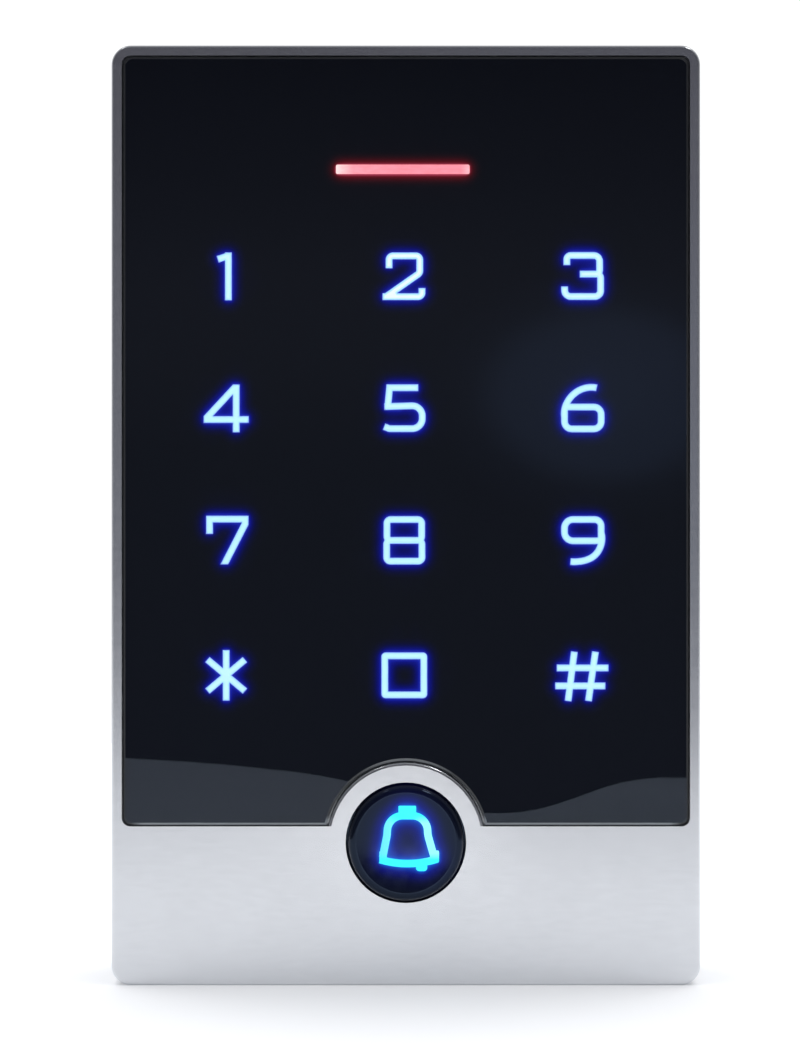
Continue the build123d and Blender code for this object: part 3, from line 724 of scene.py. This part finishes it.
def ground_edge():
    """The ground edge of the glass: dull, with painted light that makes it pale at the bottom and near the
    top of the bay, where the bright chin and the arch would shine into it.
    """
    shader = Shader("ground_glass_edge")
    place = shader.parts(shader.place)
    low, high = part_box("touch_glass")
    bay_top = BAY_HEIGHT + BAY_RADIUS
    # Painted light: the edge is paler low down and near the top of the bay, as if the chin and the arch lit
    # it.
    lower = shader.ramp(shader.span(place["Z"], 0.0, 1.0, low.z, bay_top), EDGE_PAINTED_LIGHT_STOPS)
    side = shader.add("ShaderNodeMath", operation="ABSOLUTE")
    shader.join(place["X"], side.inputs[0])
    beside = shader.span(side.outputs["Value"], 0.0, 1.0, high.x - SIDE_FADE[0], high.x - SIDE_FADE[1])
    above = shader.span(place["Z"], 0.0, 1.0, bay_top + TOP_FADE[0], bay_top + TOP_FADE[1])
    away = shader.add("ShaderNodeMath", operation="MAXIMUM")
    shader.join(beside, away.inputs[0])
    shader.join(above, away.inputs[1])
    # Away from the bottom and the bay, the painted light fades to the dark edge.
    painted_edge_light = shader.blend(lower, DARK_EDGE, away.outputs["Value"])
    shader.join(painted_edge_light, shader.main.inputs["Base Color"])
    grind = shader.noise(2600.0, detail=3.0)
    shader.join(shader.span(grind, 0.35, 0.50), shader.main.inputs["Roughness"])
    shader.join(shader.bump(grind, 0.003 * MM, 0.3), shader.main.inputs["Normal"])
    return shader.material


# The painted light on the ground edge gives way to the dark edge between these distances from the side of the
# glass and above the bay.
SIDE_FADE = (2.5 * MM, 1.0 * MM)
TOP_FADE = (0.5 * MM, 1.0 * MM)
DARK_EDGE = (0.014, 0.015, 0.018, 1.0)
# Painted light on the ground edge, from the bottom of the glass up to the top of the bay: pale at the bottom
# and near the bay's top, where the chin and the arch would shine in, and dark between.
EDGE_PAINTED_LIGHT_STOPS = [
    (0.0, (0.25, 0.27, 0.29)),
    (0.08, (0.22, 0.24, 0.26)),
    (0.16, (0.04, 0.043, 0.048)),
    (0.80, (0.04, 0.043, 0.048)),
    (0.94, (0.11, 0.12, 0.13)),
    (1.0, (0.15, 0.16, 0.17)),
]


def glass_pane():
    """The pane: a flat front, a rounded ground edge, straight sides and a back let into the print."""
    rings = [(EDGE_ROUND * (1 - math.sin(a)), GLASS_FRONT - EDGE_ROUND * (1 - math.cos(a)))
             for a in (math.pi / 2 * k / ROUND_PARTS for k in range(ROUND_PARTS + 1))]
    rings.append((0.0, GLASS_BACK))
    vertices, faces = [], []
    for inset, level in rings:
        vertices += [(x, -level, z) for x, z in glass_ring(inset)]
    count = len(glass_ring(0.0))
    for ring in range(len(rings) - 1):
        for k in range(count):
            a, b = ring * count + k, ring * count + (k + 1) % count
            faces.append((a, b, b + count, a + count))
    for start, flip in ((0, False), ((len(rings) - 1) * count, True)):
        loop = [(vertices[start + k][0], vertices[start + k][2]) for k in range(count)]
        triangles = filled([loop], tolerance=1e-9)[1]
        faces += [tuple(start + int(v) for v in (reversed(t) if flip else t)) for t in triangles]
    return piece("glass_pane", vertices, faces)


pane = glass_pane()
finish_piece(pane, "reader", "tempered_glass", clear_glass(), "touch_glass")
pane.data.materials.append(ground_edge())
for polygon in pane.data.polygons:
    rim = abs(polygon.normal.y) < FLAT
    polygon.use_smooth = rim
    polygon.material_index = 1 if rim else 0


# ---------------------------------------------------------------- bell button

CAP_RADIUS = 7.42 * MM
CAP_SHOULDER = 21.6 * MM
CAP_BORE = 6.4 * MM
CAP_ROOF = 21.42 * MM
FLANGE_RADIUS = 8.9 * MM
FLANGE_BACK = 15.1 * MM
FLANGE_FRONT = 16.0 * MM
# The face is dished, and lies a skin behind the front of the CAD box.
CAP_FACE_RADIUS = 6.4 * MM
CAP_DISH = 0.225 * MM
CAP_SKIN = 0.02 * MM
# The curve of the rolled edge is pulled outwards and back at the face's rim, and forwards at the side.
ROLL_ACROSS = 0.75 * MM
ROLL_DROP = 0.02 * MM
ROLL_DOWN = 0.35 * MM
# Steps across the face, over the rolled edge and all round.
FACE_RINGS = 40
ROLL_RINGS = 16
CAP_SECTORS = 128
CREASE = math.radians(40)


def bell_centre():
    """The button's axis, as (x, z)."""
    low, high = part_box("bell_button_cap")
    return (low.x + high.x) / 2, (low.z + high.z) / 2


def cap_profile():
    """(radius, level) pairs from the middle of the face, over the rolled edge and down to the bore."""
    face = -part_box("bell_button_cap")[0].y
    points = []
    for k in range(FACE_RINGS + 1):
        radius = CAP_FACE_RADIUS * k / FACE_RINGS
        points.append((radius, face - CAP_DISH * (1 - (radius / CAP_FACE_RADIUS) ** 2) - CAP_SKIN))
    start, end = (CAP_FACE_RADIUS, face), (CAP_RADIUS, CAP_SHOULDER)
    pulls = [(CAP_FACE_RADIUS + ROLL_ACROSS, face - ROLL_DROP), (CAP_RADIUS, face - ROLL_DOWN)]
    for k in range(1, ROLL_RINGS + 1):
        t = k / ROLL_RINGS
        weights = ((1 - t) ** 3, 3 * t * (1 - t) ** 2, 3 * t * t * (1 - t), t ** 3)
        point = [sum(w * p[i] for w, p in zip(weights, (start, *pulls, end))) for i in (0, 1)]
        points.append((point[0], point[1] - CAP_SKIN * max(0.0, 1 - 4 * t)))
    points += [(CAP_RADIUS, FLANGE_FRONT), (FLANGE_RADIUS, FLANGE_FRONT), (FLANGE_RADIUS, FLANGE_BACK),
               (CAP_BORE, FLANGE_BACK), (CAP_BORE, CAP_ROOF), (0.0, CAP_ROOF)]
    return points


def button_cap():
    """The cap turned from its profile, dense on its face so that the bell's light can spread over it."""
    x0, z0 = bell_centre()
    vertices, faces, rows = [], [], []
    for radius, level in cap_profile():
        if radius == 0.0:
            rows.append([len(vertices)])
            vertices.append((x0, -level, z0))
            continue
        rows.append(list(range(len(vertices), len(vertices) + CAP_SECTORS)))
        for k in range(CAP_SECTORS):
            angle = 2 * math.pi * k / CAP_SECTORS
            vertices.append((x0 + radius * math.cos(angle), -level, z0 + radius * math.sin(angle)))
    for upper, lower in zip(rows, rows[1:]):
        for k in range(CAP_SECTORS):
            k2 = (k + 1) % CAP_SECTORS
            if len(upper) == 1:
                faces.append((upper[0], lower[k2], lower[k]))
            elif len(lower) == 1:
                faces.append((upper[k], upper[k2], lower[0]))
            else:
                faces.append((upper[k], upper[k2], lower[k2], lower[k]))
    made = piece("button_cap", vertices, faces, smooth=True)
    made.data.set_sharp_from_angle(angle=CREASE)
    loops = loops_of(front_outline("bell_light_core", MARK_DEPTH, FACING))
    store(made, "bell_light", gathered(in_plane(made), loops, SAMPLE_PITCH, CAP_SPREAD))
    return made


# The raised bell mark: the core's faces that look forward within this depth of its front.
MARK_DEPTH = 0.6 * MM
FACING = 0.9
# Light in the cap: (width, share) of each bell-shaped spread.
CAP_SPREAD = [(0.20 * MM, 0.35), (0.75 * MM, 0.42), (1.5 * MM, 0.23)]
BELL_STOPS = [
    (0.0, (0.0, 0.0, 0.0)),
    (0.02, (0.0005, 0.0005, 0.020)),
    (0.06, (0.001, 0.001, 0.095)),
    (0.12, (0.001, 0.003, 0.185)),
    (0.20, (0.0, 0.022, 0.340)),
    (0.40, (0.0, 0.090, 0.60)),
]

cap = button_cap()
finish_piece(cap, "bell_button", "button_black",
             lit_print("gloss_cap", (0.003, 0.004, 0.008), [("bell_light", BELL_STOPS)], roughness=0.06,
                       tint=(0.33, 0.46, 0.68)),
             "bell_button_cap")


MARK_COLOUR = (0.0, 0.80, 0.97, 1.0)
# The part of the bell whose colour changes from left to right: its reach from the button's axis to each side,
# downwards and upwards. The light starts and is full at these places along Y.
MARK_SIDE = 4.5 * MM
MARK_BELOW = 3.5 * MM
MARK_ABOVE = 4.5 * MM
LIT_FROM = -21.5 * MM
LIT_FULLY = -21.9 * MM
LIMB_STOPS = [
    (0.0, (0.06, 0.60, 1.0)),
    (0.28, (0.14, 0.76, 1.0)),
    (0.42, (0.0, 0.78, 1.0)),
    (0.60, (0.0, 0.78, 1.0)),
    (0.72, (0.30, 0.90, 1.0)),
    (1.0, (0.30, 0.93, 1.0)),
]
# How much of those colours shows, from the lowest to the highest place.
LIMB_REACH = [
    (0.0, (0.0, 0.0, 0.0)),
    (0.18, (0.0, 0.0, 0.0)),
    (0.28, (1.0, 1.0, 1.0)),
    (0.76, (1.0, 1.0, 1.0)),
    (0.88, (0.0, 0.0, 0.0)),
]


def core_material():
    """The clear core: cyan light in the raised bell, paler on its right limb, and none behind the cap."""
    shader = Shader("bell_lit")
    shader.put(Base_Color=(0.05, 0.3, 0.4, 1.0), Roughness=0.3, Emission_Strength=1.0)
    place = shader.parts(shader.place)
    x0, z0 = bell_centre()
    across = shader.span(place["X"], 0.0, 1.0, x0 - MARK_SIDE, x0 + MARK_SIDE)
    up = shader.span(place["Z"], 0.0, 1.0, z0 - MARK_BELOW, z0 + MARK_ABOVE)
    limbs = shader.ramp(across, LIMB_STOPS)
    light = shader.blend(MARK_COLOUR, limbs, shader.ramp(up, LIMB_REACH))
    lit = shader.span(place["Y"], 1.0, 0.0, LIT_FULLY, LIT_FROM)
    shader.join(lit, shader.main.inputs["Emission Strength"])
    shader.join(light, shader.main.inputs["Emission Color"])
    return shader.material


use(core_material(), "bell_light_core")


WIRE_RADIUS = 0.25 * MM
SPRING_TURNS = 6
TURN_STEPS = 40
WIRE_SIDES = 12


def return_spring():
    """The return spring: a round wire on a helix."""
    x0, z0 = bell_centre()
    low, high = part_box("button_return_spring")
    mean = (high.x - low.x) / 2 - WIRE_RADIUS
    back, front = -high.y + WIRE_RADIUS, -low.y - WIRE_RADIUS
    total = SPRING_TURNS * TURN_STEPS
    along_y = Vector((0, 1, 0))
    vertices, faces = [], []
    for k in range(total + 1):
        share = k / total
        level = back + (front - back) * share
        angle = 2 * math.pi * SPRING_TURNS * share
        outward = Vector((math.cos(angle), 0, math.sin(angle)))
        centre = Vector((x0, -level, z0)) + mean * outward
        for j in range(WIRE_SIDES):
            turn = 2 * math.pi * j / WIRE_SIDES
            vertices.append(centre + WIRE_RADIUS * (math.cos(turn) * outward + math.sin(turn) * along_y))
    for k in range(total):
        for j in range(WIRE_SIDES):
            a, b = k * WIRE_SIDES + j, k * WIRE_SIDES + (j + 1) % WIRE_SIDES
            faces.append((a, b, b + WIRE_SIDES, a + WIRE_SIDES))
    last = total * WIRE_SIDES
    faces.append(tuple(range(WIRE_SIDES)))
    faces.append(tuple(reversed(range(last, last + WIRE_SIDES))))
    return piece("return_spring", vertices, faces, smooth=True)


spring = return_spring()
finish_piece(spring, "reader", "spring_steel",
             surface("return_wire", (0.45, 0.44, 0.42), (0.62, 0.61, 0.58), (0.2, 0.35), 1.0, grain=3000.0),
             "button_return_spring")
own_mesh(spring)


# ---------------------------------------------------------------- stage, lights, camera

def stage_mesh(name, vertices, faces, material, camera_sees=True):
    """A mesh of the studio, which isn't part of the object."""
    mesh = bpy.data.meshes.new(name)
    mesh.from_pydata(vertices, [], faces)
    mesh.materials.append(material)
    made = bpy.data.objects.new(name, mesh)
    bpy.context.scene.collection.objects.link(made)
    made.visible_camera = camera_sees
    return made


def stage_material(name, colour, glow=0.0):
    """Dull paper that may glow in its own colour."""
    shader = Shader(name)
    shader.put(Base_Color=(*colour, 1.0), Roughness=0.9)
    if glow:
        shader.put(Emission_Color=(*colour, 1.0), Emission_Strength=glow)
    return shader.material


FLOOR_SIDE = 0.9
# The front edge of the floor paper, as (x, y) points from left to right; the glass mirrors this wave.
FLOOR_WAVE = [
    (-FLOOR_SIDE, -0.45),
    (-0.13, -0.45),
    (-0.0706, -0.435),
    (-0.045, -0.415),
    (-0.0139, -0.370),
    (0.004, -0.300),
    (0.0176, -0.258),
    (0.030, -0.285),
    (0.0566, -0.3845),
    (0.0668, -0.365),
    (0.12, -0.34),
    (FLOOR_SIDE, -0.32),
]
# Points along the wave, and how many of them are averaged to round it.
WAVE_STEPS = 51
WAVE_BLUR = 5


def floor():
    """A pale floor paper: straight behind the object, and wavy in front of it."""
    wave_x, wave_y = zip(*FLOOR_WAVE)
    xs = np.concatenate([[-FLOOR_SIDE], np.linspace(wave_x[1], wave_x[-2], WAVE_STEPS), [FLOOR_SIDE]])
    front = np.pad(np.interp(xs, wave_x, wave_y), WAVE_BLUR // 2, mode="edge")
    front = np.convolve(front, np.full(WAVE_BLUR, 1 / WAVE_BLUR), mode="valid")
    vertices = [(x, y, FLOOR) for x, y in zip(xs, front)] + [(x, FLOOR_END, FLOOR) for x in xs]
    count = len(xs)
    faces = [(k, k + 1, k + 1 + count, k + count) for k in range(count - 1)]
    stage_mesh("floor", vertices, faces, stage_material("floor_paper", (0.86, 0.87, 0.89), 0.22))


def mirrored(x, z):
    """The place on the floor that the camera sees mirrored at (x, z) of the flat front."""
    away = CAMERA_DISTANCE * (z - FLOOR) / (FRAME_CENTRE[1] - z)
    return FRAME_CENTRE[0] + (x - FRAME_CENTRE[0]) * (1 + away / CAMERA_DISTANCE), FRONT - away


def card(name, vertices, glow):
    """A glowing card that only mirror-like surfaces see."""
    made = stage_mesh(name, vertices, [tuple(range(len(vertices)))],
                      stage_material(name, (0.9, 0.9, 0.9), glow),
                      camera_sees=False)
    made.visible_diffuse = False
    made.visible_shadow = False


# The arch's paper: its glow, how far its mirrored edge stays inside the arch, its height over the floor, and
# the ends of the arc in degrees.
ARCH_GLOW = 2.2
ARCH_INSET = 0.3 * MM
ARCH_PAPER_LIFT = 0.5 * MM
ARCH_ENDS = (5.0, 175.0)
ARCH_STEPS = 40
# Small square cards for the glints on the rounded edges: name, middle, half side and glow.
GLINTS = [
    ("right_glint", (0.19, -0.15, 0.38), 0.035, 14.0),
    ("left_glint", (-0.17, -0.13, 0.37), 0.02, 6.0),
]


def cards():
    """A bright paper on the floor, shaped so that only the arch mirrors it, and the cards for the glints."""
    radius = BAY_RADIUS - ARCH_INSET
    edge = []
    for k in range(ARCH_STEPS + 1):
        angle = math.radians(ARCH_ENDS[0] + (ARCH_ENDS[1] - ARCH_ENDS[0]) * k / ARCH_STEPS)
        edge.append((radius * math.cos(angle), BAY_HEIGHT + radius * math.sin(angle)))
    card("arch_paper", [(*mirrored(x, z), FLOOR + ARCH_PAPER_LIFT) for x, z in edge], ARCH_GLOW)
    for name, (x, y, z), half, glow in GLINTS:
        card(name, [(x - half, y - half, z), (x + half, y - half, z), (x + half, y + half, z),
                    (x - half, y + half, z)], glow)


LAMP_PLACE = (0.0, 0.15, 0.80)
LAMP_TARGET = (0.0, 0.10, 0.0)
LAMP_SIDE = 1.3
LAMP_WATTS = 11.0


def overhead_lamp():
    """The soft light overhead, which mirror-like surfaces don't see."""
    data = bpy.data.lights.new("overhead", "AREA")
    data.shape = "SQUARE"
    data.size = LAMP_SIDE
    data.energy = LAMP_WATTS
    made = bpy.data.objects.new("overhead", data)
    made.location = LAMP_PLACE
    made.rotation_euler = (Vector(LAMP_TARGET) - Vector(LAMP_PLACE)).to_track_quat("-Z", "Y").to_euler()
    bpy.context.scene.collection.objects.link(made)
    made.visible_camera = False
    made.visible_glossy = False


# Studio light by direction: in front by height (dim, slightly blue), and from the front round to the back.
FRONT_STOPS = [
    (0.0, (0.14, 0.14, 0.17)),
    (0.475, (0.145, 0.15, 0.18)),
    (0.51, (0.145, 0.15, 0.175)),
    (0.525, (0.185, 0.185, 0.21)),
    (0.537, (0.19, 0.185, 0.21)),
    (0.552, (0.125, 0.12, 0.14)),
    (0.57, (0.065, 0.062, 0.075)),
    (0.62, (0.06, 0.06, 0.07)),
    (0.75, (0.12, 0.12, 0.14)),
    (1.0, (0.30, 0.31, 0.33)),
]
ROUND_STOPS = [
    (0.0, (0.20, 0.205, 0.22)),
    (0.25, (0.22, 0.225, 0.24)),
    (0.5, (0.42, 0.425, 0.44)),
    (0.75, (0.80, 0.80, 0.81)),
    (1.0, (0.85, 0.85, 0.85)),
]
# The front light gives way to the light all round between these values of the direction along Y.
FRONT_ENDS = (-0.85, -0.1)
# A pale window far in front, seen in the glass: its direction, half width and half height, its light, and how
# that fades outwards.
WINDOW_DIRECTION = (0.062, -0.997, 0.040)
WINDOW_SPREAD = (0.042, 0.030)
WINDOW_LIGHT = (0.17, 0.23, 0.37)
WINDOW_FADE = ((0.0, 1.0), (0.55, 0.75), (0.75, 0.15), (1.0, 0.0))
WINDOW_END = 1.3
BACKDROP = (1.1, 1.1, 1.1, 1.0)


def world():
    """White behind the object for the camera; for what the object reflects, a studio that is dim in front."""
    made = bpy.data.worlds.new("studio")
    bpy.context.scene.world = made
    made.use_nodes = True
    made.node_tree.nodes.clear()
    sky = Nodes(made.node_tree)
    direction = sky.add("ShaderNodeTexCoord").outputs["Generated"]
    place = sky.parts(direction)
    front = sky.ramp(sky.span(place["Z"], 0.0, 1.0, -1.0, 1.0), FRONT_STOPS)
    around = sky.ramp(sky.span(place["Y"], 0.0, 1.0, -1.0, 1.0), ROUND_STOPS)
    studio = sky.blend(front, around, sky.span(place["Y"], 0.0, 1.0, *FRONT_ENDS))
    shifted = sky.add("ShaderNodeVectorMath", operation="SUBTRACT")
    sky.join(direction, shifted.inputs[0])
    shifted.inputs[1].default_value = WINDOW_DIRECTION
    scaled = sky.add("ShaderNodeVectorMath", operation="MULTIPLY")
    sky.join(shifted.outputs["Vector"], scaled.inputs[0])
    scaled.inputs[1].default_value = (1 / WINDOW_SPREAD[0], 1.0, 1 / WINDOW_SPREAD[1])
    apart = sky.add("ShaderNodeVectorMath", operation="LENGTH")
    sky.join(scaled.outputs["Vector"], apart.inputs[0])
    outward = sky.span(apart.outputs["Value"], 0.0, 1.0, 0.0, WINDOW_END)
    window = sky.ramp(outward, [(at, tuple(share * x for x in WINDOW_LIGHT)) for at, share in WINDOW_FADE])
    dim = sky.add("ShaderNodeBackground")
    sky.join(sky.blend(studio, window, kind="ADD"), dim.inputs["Color"])
    white = sky.add("ShaderNodeBackground")
    white.inputs["Color"].default_value = BACKDROP
    path = sky.add("ShaderNodeLightPath")
    mix = sky.add("ShaderNodeMixShader")
    out = sky.add("ShaderNodeOutputWorld")
    sky.join(path.outputs["Is Camera Ray"], mix.inputs["Fac"])
    sky.join(dim.outputs["Background"], mix.inputs[1])
    sky.join(white.outputs["Background"], mix.inputs[2])
    sky.join(mix.outputs["Shader"], out.inputs["Surface"])


def camera():
    """The camera, square on to the front, with FRAME_HEIGHT of the front plane in view."""
    data = bpy.data.cameras.new("camera")
    data.sensor_width = 36.0
    data.lens = data.sensor_width * CAMERA_DISTANCE / FRAME_HEIGHT
    data.clip_start = 0.01
    data.clip_end = 10.0
    made = bpy.data.objects.new("camera", data)
    made.location = (FRAME_CENTRE[0], FRONT - CAMERA_DISTANCE, FRAME_CENTRE[1])
    made.rotation_euler = (math.pi / 2, 0, 0)
    bpy.context.scene.collection.objects.link(made)
    bpy.context.scene.camera = made


floor()
cards()
overhead_lamp()
world()
camera()
bpy.context.scene.view_settings.view_transform = "Standard"
